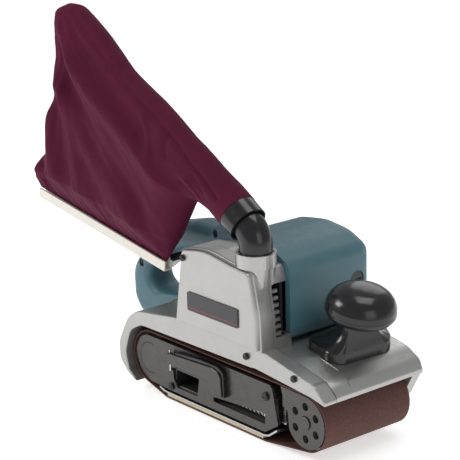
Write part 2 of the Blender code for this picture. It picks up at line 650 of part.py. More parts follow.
def side_plate():
    """Grey plate over the near end of the inner block and the drum."""
    outline = rounded([(-0.1135, 0.0560, 0.006), (-0.1240, 0.0520, 0.020), (-0.1330, 0.0367, 0.022),
                       (-0.1240, 0.0165, 0.020), (-0.1095, 0.0105, 0.015), (-0.0780, 0.0093, 0.004),
                       (0.0563, 0.0093, 0.004), (0.0742, 0.0205, 0.002), (0.0669, 0.0526, 0.001),
                       (0.0636, 0.0559, 0.001), (-0.0790, 0.0559, 0), (-0.0876, 0.0559, 0.003)], 0.003, 4)
    plate = prism("side_plate", outline, *SIDE_Y)
    window = rounded([(-0.0749, 0.0330), (-0.0741, 0.0222), (-0.0687, 0.0148), (-0.0391, 0.0150),
                      (-0.0359, 0.0330)], 0.0012, 2)
    slot = rounded([(-0.0156, 0.0169), (0.0568, 0.0169), (0.0568, 0.0274), (-0.0156, 0.0215)], 0.0012, 2)
    low, high = SIDE_Y[0] - 0.01, SIDE_Y[1] + 0.01
    cut(plate, prism("window", window, low, high), prism("slot", slot, low, high),
        rod("hole", (TRACKING_X, low, TRACKING_Z), (TRACKING_X, high, TRACKING_Z), 0.0024, None, 16),
        box("notch", (-0.0780, low, 0.0306), (-0.0700, high, 0.0334)))
    return colour(plate, **PLATE)


def platen():
    """Steel platen with its cork and graphite layers, and the belt."""
    reach = 0.048
    steel = [(SOLE_REAR - 0.010, 0.0080), (SOLE_REAR - 0.004, 0.0058), (SOLE_REAR, 0.0055), (SOLE_FRONT, 0.0055),
             (0.0620, 0.0068), (0.0735, 0.0150), (0.0725, 0.0162), (0.0612, 0.0082), (SOLE_FRONT, 0.0070),
             (SOLE_REAR, 0.0070), (SOLE_REAR - 0.0095, 0.0094)]
    prism("platen_plate", steel, -reach, reach, STEEL)
    ends = ((SOLE_REAR + 0.002, SOLE_FRONT - 0.002))
    box("graphite_pad", (ends[0], -reach, 0.0015), (ends[1], reach, 0.0025), BLACK)
    box("cork_pad", (ends[0], -reach, 0.0028), (ends[1], reach, 0.0052), dict(rgb=(0.55, 0.45, 0.3)))
    band("sanding_belt", belt_outline(BELT_THICK), belt_outline(0), *BELT_Y,
         dict(rgb=(0.12, 0.06, 0.05), roughness=0.9))


# ---- rear handle ----
TRIGGER_AT = (-0.1595, 0.1070)
TRIGGER_OUT = (0.6, -0.8)    # the way the trigger springs out, in X and Z
LOCK_DEPTH = -0.0135         # the lock button sits this far behind the trigger
GRIP_SOFT = 0.0110           # how far the sides of the grip round over


def along_trigger(depth, across):
    """A point in X and Z: depth out of the grip, across along its inner edge."""
    x = TRIGGER_AT[0] + depth * TRIGGER_OUT[0] - across * TRIGGER_OUT[1]
    z = TRIGGER_AT[1] + depth * TRIGGER_OUT[1] + across * TRIGGER_OUT[0]
    return x, z


def trigger_block(name, depths, width, sides, finish=None):
    """A block lined up with the trigger."""
    corners = [along_trigger(depths[0], -width), along_trigger(depths[1], -width),
               along_trigger(depths[1], width), along_trigger(depths[0], width)]
    return prism(name, rounded(corners, 0.002, 2), *sides, finish)


def handle():
    """Two half shells of the rear handle, its trigger, switch and buttons."""
    outline = rounded([(MOTOR_REAR - 0.0005, 0.1640, 0.001), (-0.0690, 0.1640, 0.002), (-0.0760, 0.1600, 0.003),
                       (-0.1040, 0.1590, 0.03), (-0.1500, 0.1470, 0.04), (-0.1810, 0.1230, 0.03),
                       (-0.2030, 0.0920, 0.03), (-0.2020, 0.0620, 0.02), (-0.1900, 0.0455, 0.016),
                       (-0.1530, 0.0455, 0.006), (-0.1345, 0.0735, 0), (-0.1185, 0.0818, 0),
                       (-0.1480, 0.0790, 0.012), (-0.1620, 0.0780, 0.012), (-0.1730, 0.0870, 0.016),
                       (-0.1705, 0.0990, 0.02), (-0.1490, 0.1150, 0.02), (-0.1210, 0.1275, 0.02),
                       (-0.0900, 0.1330, 0.02), (-0.0560, 0.1330, 0.008), (MOTOR_REAR - 0.0005, 0.1280, 0)], 0.004, 4)
    shells = []
    for name, low, high in (("handle_left", GRIP_Y[0], GRIP_SPLIT - GAP / 2),
                            ("handle_right", GRIP_SPLIT + GAP / 2, GRIP_Y[1])):
        shell = grip_shell(name, outline, low, high, name == "handle_left")
        cut(shell, trigger_block("pocket", (-0.0190, 0.010), 0.0135, (0.0075, 0.0285)))
        shells.append(colour(shell, **TEAL))
    trigger = trigger_block("trigger", (-0.0062, 0.0068), 0.0125, (0.0095, 0.0265))
    colour(bevel(trigger, 0.0015, 2, 50), **BLACK)
    trigger_block("switch_body", (-0.0180, -0.0120), 0.0110, (0.0110, 0.0250), BLACK)
    x, z = along_trigger(LOCK_DEPTH, 0)
    cut(shells[0], rod("hole", (x, -0.01, z), (x, 0.0100, z), 0.0045, None, 24))
    button = rod("lock_button", (x, -0.0035, z), (x, 0.0070, z), 0.0040, None, 24)
    colour(bevel(button, 0.0008, 1), **BLACK)
    for name, x, z in (("handle_screw_low", -0.1834, 0.1010), ("handle_screw_top", -0.0664, 0.1560)):
        cut(shells[0], rod("hole", (x, -0.01, z), (x, 0.0040, z), 0.0040, None, 16))
        item = rod(name, (x, 0.0020, z), (x, 0.0037, z), 0.0036, None, 16)
        slot = box("slot", (x - 0.0004, 0.001, z - 0.003), (x + 0.0004, 0.0028, z + 0.003))
        colour(cut(item, slot), **STEEL)
    inlet = lathe("cord_inlet", [(0, 0), (0.0085, 0), (0.0085, 0.003), (0.0070, 0.0040), (0.0070, 0.0090),
                                 (0.0042, 0.0090), (0.0042, 0.0020), (0, 0.0020)],
                  (-0.1740, 0.0230, 0.0455 - GAP), (0, 0, -1), BLACK, 20)
    return inlet


def grip_weight(x, z):
    """Share of the full rounding: none where the handle meets the machine."""
    root = -0.140 if z < DECK_Z else MOTOR_REAR - 0.008
    return min(max((root - x) / 0.030, 0), 1)


def grip_shell(name, outline, low, high, near):
    """One half of the handle, rounded over on the side away from the split."""
    outer, inner = (low, high) if near else (high, low)
    way = 1 if near else -1
    full = shifted(outline, GRIP_SOFT)
    rings = []
    steps = 4
    for k in range(steps + 1):
        angle = pi / 2 * k / steps
        ring_points = []
        for point, deep in zip(outline, full):
            share = (1 - sin(angle)) * grip_weight(*point)
            spot = Vector(point).lerp(Vector(deep), share)
            ring_points.append((spot.x, outer + way * GRIP_SOFT * (1 - cos(angle)), spot.y))
        rings.append(ring_points)
    rings.append([(x, inner, z) for x, z in outline])
    return loft(name, rings)


# ---- front knob ----
def knob():
    """Two shells of the front knob on its flared plinth."""
    down = Matrix.Rotation(KNOB_TILT, 3, "Y")
    axis = down @ Vector((0, 0, 1))
    steps = 7
    over = [(0, GAP / 2)]
    for k in range(steps):
        angle = pi / 2 * k / steps
        over.append((KNOB_R * cos(angle) ** 0.72, max(KNOB_OVER_H * sin(angle) ** 0.92, GAP / 2)))
    over.append((0, KNOB_OVER_H))
    under = [(0, -KNOB_UNDER_H)]
    for k in range(steps):
        angle = pi / 2 * k / steps
        under.append((NECK_R + 0.001 + (KNOB_R - NECK_R - 0.001) * sin(angle), -KNOB_UNDER_H * cos(angle)))
    under += [(KNOB_R, -GAP / 2), (0, -GAP / 2)]
    lathe("knob_upper", over, KNOB, axis, BLACK, 36)
    lathe("knob_lower", under, KNOB, axis, BLACK, 36)
    base = rounded([(0.0720, -0.0120, 0.012), (0.1200, -0.0240, 0.012), (0.1230, 0.0410, 0.014),
                    (0.1130, 0.0520, 0.010), (0.0850, 0.0680, 0.012), (0.0690, 0.0420, 0.020)], 0.01, 4)
    neck_centre = Vector(KNOB) - axis * (KNOB_UNDER_H - 0.0040)
    rings = [[Vector((x, y, 0.070)) for x, y in base]]
    rings.append([Vector((x, y, plinth_edge(x))) for x, y in base])
    layers = 6
    for k in range(layers + 1):
        share = k / layers
        width = 0.95 * (1 - share) ** 2.7
        loop = []
        for x, y in base:
            heading = atan2(y - KNOB[1], x - KNOB[0])
            top = neck_centre + Vector((cos(heading), sin(heading), 0)) * NECK_R
            low = Vector((x, y, plinth_edge(x) + 0.0012))
            point = top.lerp(low, width)
            point.z = low.z + (top.z - low.z) * share
            loop.append(point)
        rings.append(loop)
    plinth = loft("knob_plinth", rings)
    deck = rounded([(x, z + 2 * GAP, *rest) for x, z, *rest in CROWN] + [(0.1420, 0.060), (-0.060, 0.060)], 0.001)
    cut(plinth, prism("deck", deck, -0.060, 0.090))
    seat = Vector(KNOB) - axis * (KNOB_UNDER_H + GAP)
    dish = rod("dish", seat, seat + axis * 0.03, 0.024)
    cut(plinth, dish)
    colour(plinth, **BLACK)


def plinth_edge(x):
    """Height of the plinth's thin rim: level on the deck, then down the hood."""
    return DECK_Z + 0.0085 - max(0.0, x - 0.092) * 0.13


# ---- dust outlet and bag ----
def elbow_point(angle):
    """Centre of the elbow's bore at a bend angle."""
    x = NOZZLE[0] - ELBOW_BEND_R * (1 - cos(angle))
    return Vector((x, NOZZLE[1], ELBOW_BEND_Z + ELBOW_BEND_R * sin(angle)))


TUBE_AXIS = Vector((-sin(ELBOW_ANGLE), 0, cos(ELBOW_ANGLE)))
BEND_END = elbow_point(ELBOW_ANGLE)


def elbow():
    """The bent black pipe in the outlet and the bag's stiff cuff."""
    stations = [(Vector((*NOZZLE, 0.1640)), 0.0), (Vector((*NOZZLE, ELBOW_BEND_Z)), 0.0)]
    stations += [(elbow_point(ELBOW_ANGLE * k / 6), ELBOW_ANGLE * k / 6) for k in range(1, 7)]
    stations.append((BEND_END + TUBE_AXIS * 0.015, ELBOW_ANGLE))
    shells = []
    for radius in (ELBOW_R, ELBOW_R - 0.002):
        rings = []
        for centre, angle in stations:
            across = Vector((cos(angle), 0, sin(angle)))
            rings.append([centre + radius * (across * cos(a) + Vector((0, 1, 0)) * sin(a))
                          for a in (2 * pi * i / 20 for i in range(20))])
        shells.append(rings)
    torus_loft("dust_elbow", shells[0] + list(reversed(shells[1])), BLACK)
    ring("bag_cuff", BEND_END + TUBE_AXIS * 0.0005, BEND_END + TUBE_AXIS * 0.0175, 0.0183, 0.0163, BLACK)


STRIP_REAR = (-0.2904, 0.1606)
STRIP_FRONT = (-0.0865, 0.1289)
BAG_EDGE = [(0.0040, 0.2370), (-0.0375, 0.2605), (-0.1165, 0.3030), (-0.1985, 0.3540), (-0.2110, 0.3605),
            (-0.2340, 0.3590), (-0.2450, 0.3480), (-0.2538, 0.3024), (-0.2668, 0.2511), (-0.2763, 0.2028),
            (-0.2985, 0.1740)]
BAG_FRONT = [(-0.0850, 0.1440), (-0.0539, 0.1839), (-0.0421, 0.2000), (-0.0061, 0.1890)]


def bag():
    """The cloth sack, as a plain closed pillow, and the strip that closes it."""
    along = (Vector(STRIP_FRONT) - Vector(STRIP_REAR)).normalized()
    up = Vector((-along.y, along.x))
    hem_rear = Vector(STRIP_REAR) - up * 0.0018
    hem_front = Vector(STRIP_FRONT) - up * 0.0018
    lip = 0.0085
    outline = BAG_EDGE + [tuple(hem_rear + up * lip - along * 0.004), tuple(hem_front + up * lip)] + BAG_FRONT
    middle = Vector((-0.150, 0.245))
    rings = []
    for half, scale in ((-0.024, 0.60), (-0.016, 0.84), (-0.0015, 1.0), (0.0015, 1.0), (0.016, 0.84),
                        (0.024, 0.60)):
        ring_points = []
        for x, z in outline:
            spot = middle + (Vector((x, z)) - middle) * scale
            ring_points.append((spot.x, NOZZLE[1] + half, spot.y))
        rings.append(ring_points)
    sack = loft("dust_bag", rings)
    tube = rod("tube", BEND_END + TUBE_AXIS * 0.0178, BEND_END + TUBE_AXIS * 0.055, 0.0178, None, 24)
    hem = [hem_rear, hem_front, hem_front + up * (lip + 0.006) - along * 0.004, hem_rear + up * (lip + 0.006)]
    join(sack, tube, prism("hem", [tuple(corner) for corner in hem], NOZZLE[1] - 0.0015, NOZZLE[1] + 0.0015))
    colour(sack, rgb=(0.13, 0.018, 0.05), roughness=0.95)
    wide, tall, wall, mouth = 0.0044, 0.0046, 0.0012, 0.0026
    section = [(-wide, -tall), (wide, -tall), (wide, tall), (mouth, tall), (mouth, tall - wall),
               (wide - wall, tall - wall), (wide - wall, wall - tall), (wall - wide, wall - tall),
               (wall - wide, tall - wall), (-mouth, tall - wall), (-mouth, tall), (-wide, tall)]
    rings = []
    for end in (STRIP_REAR, STRIP_FRONT):
        rings.append([(end[0] + up.x * h, NOZZLE[1] + w, end[1] + up.y * h) for w, h in section])
    loft("closing_strip", rings, dict(rgb=(0.75, 0.72, 0.66), roughness=0.5))


# ---- build ----
left_cover()
main_frame()
label_plate()
screw("cover_screw_front", 0.1048, 0.0755, COVER_Y, BLACK, 0.0032)
screw("cover_screw_middle", 0.0423, 0.0790, COVER_Y - 0.0002, BLACK, 0.0032)
screw("cover_screw_top", -0.0380, 0.1525, HUMP_Y, BLACK, 0.0030)
motor_housing()
motor_parts()
drive()
front_end()
tension()
side_plate()
screw("side_screw", -0.0774, 0.0142, SIDE_Y[0], STEEL, 0.0036)
screw("tracking_screw", TRACKING_X, TRACKING_Z, SIDE_Y[0], STEEL, 0.0040)
platen()
handle()
knob()
elbow()
bag()


# ---- origins of the moving pieces, each on its own joint's axis ----
def pivot(place, *names):
    """Move the origins of pieces to a place without moving the pieces."""
    for name in names:
        obj = bpy.data.objects[name]
        obj.data.transform(Matrix.Translation(-Vector(place)))
        obj.location = place


lever_x, lever_y = LEVER_PIN
trigger_x, trigger_z = TRIGGER_AT
lock_x, lock_z = along_trigger(LOCK_DEPTH, 0)
pivot((-AXLE_X, 0, AXLE_Z), "drum_shaft", "rear_drum", "drum_sleeve", "large_pulley")
pivot((MOTOR_X, 0, MOTOR_Z), "armature_shaft", "armature_core", "commutator", "dust_fan", "small_pulley")
pivot((AXLE_X, 0, AXLE_Z), "front_fork", "front_axle", "front_roller", "link_rod", "tension_spring")
pivot((lever_x, lever_y, 0.0420), "tension_lever", "lever_grip")
pivot((TRACKING_X, SIDE_Y[0], TRACKING_Z), "tracking_screw")
pivot((trigger_x, GRIP_SPLIT, trigger_z), "trigger")
pivot((lock_x, GRIP_Y[0], lock_z), "lock_button")
pivot((*NOZZLE, ELBOW_BEND_Z), "dust_elbow", "bag_cuff", "dust_bag")
pivot((STRIP_FRONT[0], NOZZLE[1], STRIP_FRONT[1]), "closing_strip")
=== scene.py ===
import json
from math import cos, pi, radians, sin

import bmesh
import bpy
import numpy as np
from mathutils import Matrix, Vector, noise


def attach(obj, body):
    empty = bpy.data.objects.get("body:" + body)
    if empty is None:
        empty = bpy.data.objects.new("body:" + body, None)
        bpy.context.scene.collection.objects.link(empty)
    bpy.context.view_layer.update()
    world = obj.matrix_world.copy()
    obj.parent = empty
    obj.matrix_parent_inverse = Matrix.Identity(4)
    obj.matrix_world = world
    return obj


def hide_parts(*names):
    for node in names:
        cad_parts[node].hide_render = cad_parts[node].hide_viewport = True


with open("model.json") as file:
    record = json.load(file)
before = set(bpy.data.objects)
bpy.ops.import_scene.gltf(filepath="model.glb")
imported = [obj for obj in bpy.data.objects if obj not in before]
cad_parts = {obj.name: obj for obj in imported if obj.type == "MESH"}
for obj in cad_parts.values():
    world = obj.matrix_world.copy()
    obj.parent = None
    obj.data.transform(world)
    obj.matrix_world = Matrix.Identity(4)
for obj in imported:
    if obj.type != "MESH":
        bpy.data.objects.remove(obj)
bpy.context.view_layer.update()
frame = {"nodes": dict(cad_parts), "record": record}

NODES = frame["nodes"]
BODY_OF = {node: body for body, nodes in frame["record"]["behaviour"]["bodies"].items() for node in nodes}
COLOURS = {entry["slot"]: entry["base_color"][:3] for entry in frame["record"]["materials"]}
SLOT_OF = {entry["node"]: entry["material_slot"] for entry in frame["record"]["subparts"]}
collection = bpy.context.scene.collection


# ---- camera, light and floor ----
FOCAL = 0.1408               # metres, on a 36 mm wide sensor
AZIMUTH = radians(50.664)
ELEVATION = radians(16.674)
ROLL = radians(-1.401)
DISTANCE = 1.6519
TARGET = Vector((-0.0437, 0.0, 0.1646))
FLOOR_GLOW = 0.55            # keeps the floor near white under the soft light


def camera():
    """The photograph's view of the sander."""
    back = Vector((sin(AZIMUTH) * cos(ELEVATION), -cos(AZIMUTH) * cos(ELEVATION), sin(ELEVATION)))
    level = Vector((cos(AZIMUTH), sin(AZIMUTH), 0))
    upright = back.cross(level)
    right = cos(ROLL) * level + sin(ROLL) * upright
    up = cos(ROLL) * upright - sin(ROLL) * level
    data = bpy.data.cameras.new("camera")
    data.sensor_width = 36
    data.lens = FOCAL * 1000
    data.clip_end = 20
    item = bpy.data.objects.new("camera", data)
    turn = Matrix((right, up, back)).transposed().to_4x4()
    item.matrix_world = Matrix.Translation(TARGET + back * DISTANCE) @ turn
    collection.objects.link(item)
    bpy.context.scene.camera = item


def area_light(name, place, size, energy, colour=(1, 1, 1)):
    """A soft square light that looks at the sander."""
    data = bpy.data.lights.new(name, "AREA")
    data.shape = "SQUARE"
    data.size = size
    data.energy = energy
    data.color = colour
    item = bpy.data.objects.new(name, data)
    item.location = place
    item.rotation_euler = (TARGET - Vector(place)).to_track_quat("-Z", "Y").to_euler()
    collection.objects.link(item)


def studio():
    """Soft light from above and the left, a weak fill, and a pale floor."""
    area_light("key", (-1.1, -1.4, 1.4), 0.7, 15)
    area_light("fill", (1.9, -0.3, 0.8), 1.0, 4)
    area_light("top", (0.3, 0.4, 2.0), 1.0, 9)
    area_light("rim", (-0.9, 1.6, 1.2), 1.0, 4)
    world = bpy.data.worlds.new("studio")
    world.use_nodes = True
    world.node_tree.nodes["Background"].inputs["Color"].default_value = (0.94, 0.95, 0.97, 1)
    world.node_tree.nodes["Background"].inputs["Strength"].default_value = 0.40
    bpy.context.scene.world = world
    bpy.context.scene.view_settings.view_transform = "Standard"
    mesh = bpy.data.meshes.new("floor")
    mesh.from_pydata([(-6, -6, 0), (6, -6, 0), (6, 6, 0), (-6, 6, 0)], [], [(0, 1, 2, 3)])
    floor = bpy.data.objects.new("floor", mesh)
    floor.location.z = -0.0006
    collection.objects.link(floor)
    paint = bpy.data.materials.new("floor")
    paint.use_nodes = True
    paint.node_tree.nodes["Principled BSDF"].inputs["Base Color"].default_value = (0.93, 0.93, 0.93, 1)
    paint.node_tree.nodes["Principled BSDF"].inputs["Roughness"].default_value = 0.9
    paint.node_tree.nodes["Principled BSDF"].inputs["Emission Color"].default_value = (1, 1, 1, 1)
    paint.node_tree.nodes["Principled BSDF"].inputs["Emission Strength"].default_value = FLOOR_GLOW
    mesh.materials.append(paint)


# ---- materials ----
SILVER = (0.44, 0.435, 0.42)
PLATE = (0.090, 0.084, 0.082)
TEAL = (0.066, 0.158, 0.190)
GLOSS_BLACK = (0.010, 0.010, 0.011)
SCREW_BLACK = (0.006, 0.006, 0.006)
WINE_RED = (0.088, 0.006, 0.028)
ABRASIVE_BROWN = tuple(0.66 * part for part in COLOURS["abrasive"])
PAINTED_SHADE_SLOT = "inside"       # painted shade for the castings' inner walls
ENGRAVED_SLOT = "engraved_plate"
RED_LINE_Z = 0.1078          # height of the badge's red line
RED_LINE_HALF = 0.0003
DRUM_X, DRUM_Z = -0.1095, 0.0340   # the drum's axis
ARC_RADIUS = 0.0150          # the arc engraved on the side plate
ARC_HALF_WIDTH = 0.00045
ARC_FRONT = 0.0060           # the arc stops this far in front of the drum's axis


class Paint:
    """A node material built up in small steps."""

    def __init__(self, name, colour, roughness, metallic=0.0):
        self.material = bpy.data.materials.new(name)
        self.material.use_nodes = True
        self.tree = self.material.node_tree
        self.shader = self.tree.nodes["Principled BSDF"]
        self.shader.inputs["Base Color"].default_value = (*colour, 1)
        self.shader.inputs["Roughness"].default_value = roughness
        self.shader.inputs["Metallic"].default_value = metallic
        self.colour = colour
        self.roughness = roughness
        self.space = self.node("ShaderNodeTexCoord").outputs["Object"]
        self.normal = None

    def node(self, kind, **settings):
        item = self.tree.nodes.new(kind)
        for key, value in settings.items():
            setattr(item, key, value)
        return item

    def link(self, output, socket):
        self.tree.links.new(output, socket)

    def noise(self, scale, detail=3.0, stretch=(1, 1, 1)):
        """Noise in object space, stretched along the axes."""
        mapping = self.node("ShaderNodeMapping")
        mapping.inputs["Scale"].default_value = stretch
        self.link(self.space, mapping.inputs["Vector"])
        item = self.node("ShaderNodeTexNoise")
        item.inputs["Scale"].default_value = scale
        item.inputs["Detail"].default_value = detail
        self.link(mapping.outputs["Vector"], item.inputs["Vector"])
        return item.outputs["Fac"]

    def ramp(self, factor, low, high):
        """A factor remapped to run from low to high."""
        item = self.node("ShaderNodeMapRange")
        item.inputs["From Min"].default_value = 0.3
        item.inputs["From Max"].default_value = 0.7
        item.inputs["To Min"].default_value = low
        item.inputs["To Max"].default_value = high
        self.link(factor, item.inputs["Value"])
        return item.outputs["Result"]

    def mottle(self, factor, amount):
        """Let the colour drift lighter and darker."""
        mix = self.node("ShaderNodeMix", data_type="RGBA")
        mix.inputs[6].default_value = (*[c * (1 - amount) for c in self.colour], 1)
        mix.inputs[7].default_value = (*[min(c * (1 + amount), 1) for c in self.colour], 1)
        self.link(factor, mix.inputs[0])
        self.link(mix.outputs[2], self.shader.inputs["Base Color"])
        return self

    def gloss(self, factor, spread):
        """Let the roughness vary about its middle value."""
        self.link(self.ramp(factor, self.roughness - spread, self.roughness + spread),
                  self.shader.inputs["Roughness"])
        return self

    def bump(self, height, depth, strength=1.0):
        """Add relief; depth is in metres."""
        item = self.node("ShaderNodeBump")
        item.inputs["Strength"].default_value = strength
        item.inputs["Distance"].default_value = depth
        self.link(height, item.inputs["Height"])
        if self.normal:
            self.link(self.normal, item.inputs["Normal"])
        self.normal = item.outputs["Normal"]
        self.link(self.normal, self.shader.inputs["Normal"])
        return self


def cast_silver():
    """Satin silver paint over a die casting: faint orange peel and mottle; the castings' inner walls get
    painted shade instead.
    """
    paint = Paint("cast_silver", SILVER, 0.34, 0.80)
    paint.mottle(paint.noise(60, 4), 0.05)
    paint.gloss(paint.noise(300, 2), 0.06)
    paint.bump(paint.noise(1400, 2), 0.00003, 0.5)
    paint.bump(paint.noise(220, 2), 0.00006, 0.35)
    paint.shader.inputs["Coat Weight"].default_value = 0.15
    paint.shader.inputs["Coat Roughness"].default_value = 0.25
    return paint.material


def shadowed():
    """Painted shade for the walls inside the frame: a near-black colour standing in for the shade where
    light doesn't reach.
    """
    paint = Paint("inside", (0.012, 0.012, 0.013), 0.7)
    paint.mottle(paint.noise(80, 4), 0.3)
    paint.bump(paint.noise(900, 3), 0.00005, 0.5)
    return paint.material


def badge():
    """Glossy dark plate with a thin red line along its lower edge."""
    paint = Paint("badge", (0.030, 0.028, 0.032), 0.16)
    paint.mottle(paint.noise(70, 3), 0.10)
    paint.gloss(paint.noise(600, 3), 0.05)
    height = paint.node("ShaderNodeSeparateXYZ")
    paint.link(paint.space, height.inputs["Vector"])
    away = paint.node("ShaderNodeMath", operation="SUBTRACT")
    away.inputs[1].default_value = RED_LINE_Z
    paint.link(height.outputs["Z"], away.inputs[0])
    size = paint.node("ShaderNodeMath", operation="ABSOLUTE")
    paint.link(away.outputs["Value"], size.inputs[0])
    thin = paint.node("ShaderNodeMath", operation="LESS_THAN")
    thin.inputs[1].default_value = RED_LINE_HALF
    paint.link(size.outputs["Value"], thin.inputs[0])
    mix = paint.node("ShaderNodeMix", data_type="RGBA")
    base = paint.shader.inputs["Base Color"]
    paint.link(base.links[0].from_socket, mix.inputs[6])
    mix.inputs[7].default_value = (0.32, 0.02, 0.02, 1)
    paint.link(thin.outputs["Value"], mix.inputs[0])
    paint.link(mix.outputs[2], base)
    return paint.material


def moulded(name, colour, roughness, grain=0.00004, scale=1800):
    """Moulded plastic with a spark-eroded grain."""
    paint = Paint(name, colour, roughness)
    paint.mottle(paint.noise(35, 3), 0.07)
    paint.gloss(paint.noise(240, 3), 0.07)
    paint.bump(paint.noise(scale, 2), grain, 0.6)
    return paint.material


def grey_plate():
    """Dark satin paint on pressed steel with fine handling scratches."""
    paint = Paint("plate_grey", PLATE, 0.30, 0.70)
    paint.mottle(paint.noise(90, 4), 0.10)
    paint.gloss(paint.noise(900, 4, (0.05, 1, 1)), 0.09)
    paint.bump(paint.noise(1200, 3, (0.04, 1, 1)), 0.00002, 0.5)
    return paint


def side_plate():
    """The grey plate with an engraved arc round the drum's axis at its rear end, the arc's groove drawn as a
    thin line of painted shade.
    """
    paint = grey_plate()
    offset = paint.node("ShaderNodeVectorMath", operation="SUBTRACT")
    offset.inputs[1].default_value = (DRUM_X, 0, DRUM_Z)
    paint.link(paint.space, offset.inputs[0])
    flat = paint.node("ShaderNodeVectorMath", operation="MULTIPLY")
    flat.inputs[1].default_value = (1, 0, 1)
    paint.link(offset.outputs[0], flat.inputs[0])
    away = paint.node("ShaderNodeVectorMath", operation="LENGTH")
    paint.link(flat.outputs[0], away.inputs[0])
    ring = paint.node("ShaderNodeMath", operation="COMPARE")
    ring.inputs[1].default_value = ARC_RADIUS
    ring.inputs[2].default_value = ARC_HALF_WIDTH
    paint.link(away.outputs["Value"], ring.inputs[0])
    parts = paint.node("ShaderNodeSeparateXYZ")
    paint.link(offset.outputs[0], parts.inputs[0])
    rear = paint.node("ShaderNodeMath", operation="LESS_THAN")
    rear.inputs[1].default_value = ARC_FRONT
    paint.link(parts.outputs["X"], rear.inputs[0])
    arc = paint.node("ShaderNodeMath", operation="MULTIPLY")
    paint.link(ring.outputs[0], arc.inputs[0])
    paint.link(rear.outputs[0], arc.inputs[1])
    mix = paint.node("ShaderNodeMix", data_type="RGBA")
    base = paint.shader.inputs["Base Color"]
    paint.link(base.links[0].from_socket, mix.inputs[6])
    # painted shade: the engraved groove drawn as a near-black line
    mix.inputs[7].default_value = (0.012, 0.011, 0.011, 1)
    paint.link(arc.outputs[0], mix.inputs[0])
    paint.link(mix.outputs[2], base)
    return paint.material


def machined():
    """Turned or ground steel."""
    paint = Paint("steel", COLOURS["steel"], 0.30, 1.0)
    paint.mottle(paint.noise(200, 3), 0.08)
    paint.gloss(paint.noise(1500, 3, (1, 0.04, 1)), 0.08)
    paint.bump(paint.noise(2200, 2, (1, 0.05, 1)), 0.00002, 0.5)
    return paint.material


def abrasive():
    """Aluminium-oxide grit bonded on brown cloth."""
    paint = Paint("abrasive", ABRASIVE_BROWN, 0.82)
    paint.shader.inputs["Specular IOR Level"].default_value = 0.25
    grains = paint.node("ShaderNodeTexVoronoi")
    grains.inputs["Scale"].default_value = 1500
    paint.link(paint.space, grains.inputs["Vector"])
    paint.mottle(grains.outputs["Distance"], 0.55)
    paint.gloss(paint.noise(2600, 2), 0.15)
    paint.bump(grains.outputs["Distance"], 0.00025, 0.9)
    paint.bump(paint.noise(120, 3), 0.0001, 0.3)
    return paint.material


def weave(name, colour):
    """Plain-woven cotton: two crossed sets of threads, with a soft sheen."""
    paint = Paint(name, colour, 0.85)
    threads = []
    for angle in (0, 90):
        mapping = paint.node("ShaderNodeMapping")
        mapping.inputs["Rotation"].default_value = (0, radians(angle + 12), 0)
        paint.link(paint.space, mapping.inputs["Vector"])
        wave = paint.node("ShaderNodeTexWave", bands_direction="X")
        wave.inputs["Scale"].default_value = 420
        wave.inputs["Distortion"].default_value = 1.2
        wave.inputs["Detail"].default_value = 1
        paint.link(mapping.outputs["Vector"], wave.inputs["Vector"])
        threads.append(wave.outputs["Fac"])
    both = paint.node("ShaderNodeMath", operation="MULTIPLY")
    paint.link(threads[0], both.inputs[0])
    paint.link(threads[1], both.inputs[1])
    paint.mottle(paint.noise(45, 5), 0.16)
    paint.gloss(paint.noise(500, 3), 0.05)
    paint.bump(both.outputs["Value"], 0.00012, 0.55)
    paint.bump(paint.noise(30, 4), 0.0006, 0.25)
    paint.shader.inputs["Specular IOR Level"].default_value = 0.18
    paint.shader.inputs["Sheen Weight"].default_value = 0.03
    paint.shader.inputs["Sheen Roughness"].default_value = 0.45
    paint.shader.inputs["Sheen Tint"].default_value = (0.75, 0.30, 0.45, 1)
    return paint.material


def cork():
    """Pressed cork granules."""
    paint = Paint("cork", COLOURS["cork"], 0.8)
    cells = paint.node("ShaderNodeTexVoronoi")
    cells.inputs["Scale"].default_value = 700
    paint.link(paint.space, cells.inputs["Vector"])
    paint.mottle(cells.outputs["Distance"], 0.3)
    paint.bump(cells.outputs["Distance"], 0.0002, 0.6)
    return paint.material


MATERIALS = {
    "cast_silver": cast_silver(),
    "teal_plastic": moulded("teal_plastic", TEAL, 0.45),
    "black_plastic": moulded("black_plastic", GLOSS_BLACK, 0.20, 0.000003, 2600),
    "plate_grey": grey_plate().material,
    ENGRAVED_SLOT: side_plate(),
    "badge": badge(),
    PAINTED_SHADE_SLOT: shadowed(),
    "steel": machined(),
    "black_screws": moulded("black_screws", SCREW_BLACK, 0.42, 0.00002),
    "copper": moulded("copper", COLOURS["copper"], 0.35, 0.00002),
    "carbon": moulded("carbon", COLOURS["carbon"], 0.55, 0.00004),
    "rubber": moulded("rubber", COLOURS["rubber"], 0.75, 0.00006),
    "cork": cork(),
    "abrasive": abrasive(),
    "bag_cloth": weave("bag_cloth", WINE_RED),
    "strip_plastic": moulded("strip_plastic", COLOURS["strip_plastic"], 0.38, 0.00002),
}


def dress(item, slot_name):
    """Give an object one of the materials."""
    item.data.materials.clear()
    item.data.materials.append(MATERIALS[slot_name])


# ---- the cloth dust bag ----
BAG_Y = -0.040               # the plane of the bag's seam
BAG_FULL = 0.021             # half the bag's thickness where it is fullest
EDGE_ROLL = 0.034            # how far in from a seam the cloth reaches full thickness
BAG_GRID = (230, 150)        # points along the bag and across it
LEAST_DEPTH = 0.35           # no fold cuts deeper than this share of the bag's half thickness
FOLD_GAIN = 1.35             # how much stronger the folds stand than their listed heights
SLEEVE_R = 0.0186
SLEEVE_MOUTH = Vector((0.0166, 0.2021))
SLEEVE_AXIS = Vector((-0.8480, 0.5299))
SLEEVE_NORMAL = Vector((0.5299, 0.8480))
STRIP_ENDS = (Vector((-0.2904, 0.1606)), Vector((-0.0865, 0.1289)))

